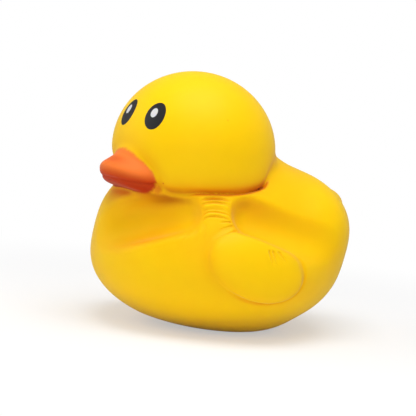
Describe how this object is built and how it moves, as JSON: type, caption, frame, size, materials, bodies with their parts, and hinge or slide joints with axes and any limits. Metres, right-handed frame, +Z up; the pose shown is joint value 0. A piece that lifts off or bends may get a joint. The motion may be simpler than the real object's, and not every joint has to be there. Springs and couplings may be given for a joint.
{
  "type": "squishy duck",
  "caption": "Slow-rise foam duck moulded in one piece: domed head, ridged beak, side wings and rounded base, with two press dents under the head on its left side.",
  "frame": {"origin": "middle of the flat base, under the middle of the body", "axes": "-Y is the way the duck faces, +X is the duck's left side, +Z is up"},
  "size_m": [0.1632, 0.1872, 0.1638],
  "materials": {
    "foam_skin": "satin"
  },
  "bodies": {
    "root": {"duck": "foam_skin"}
  },
  "joints": []
}
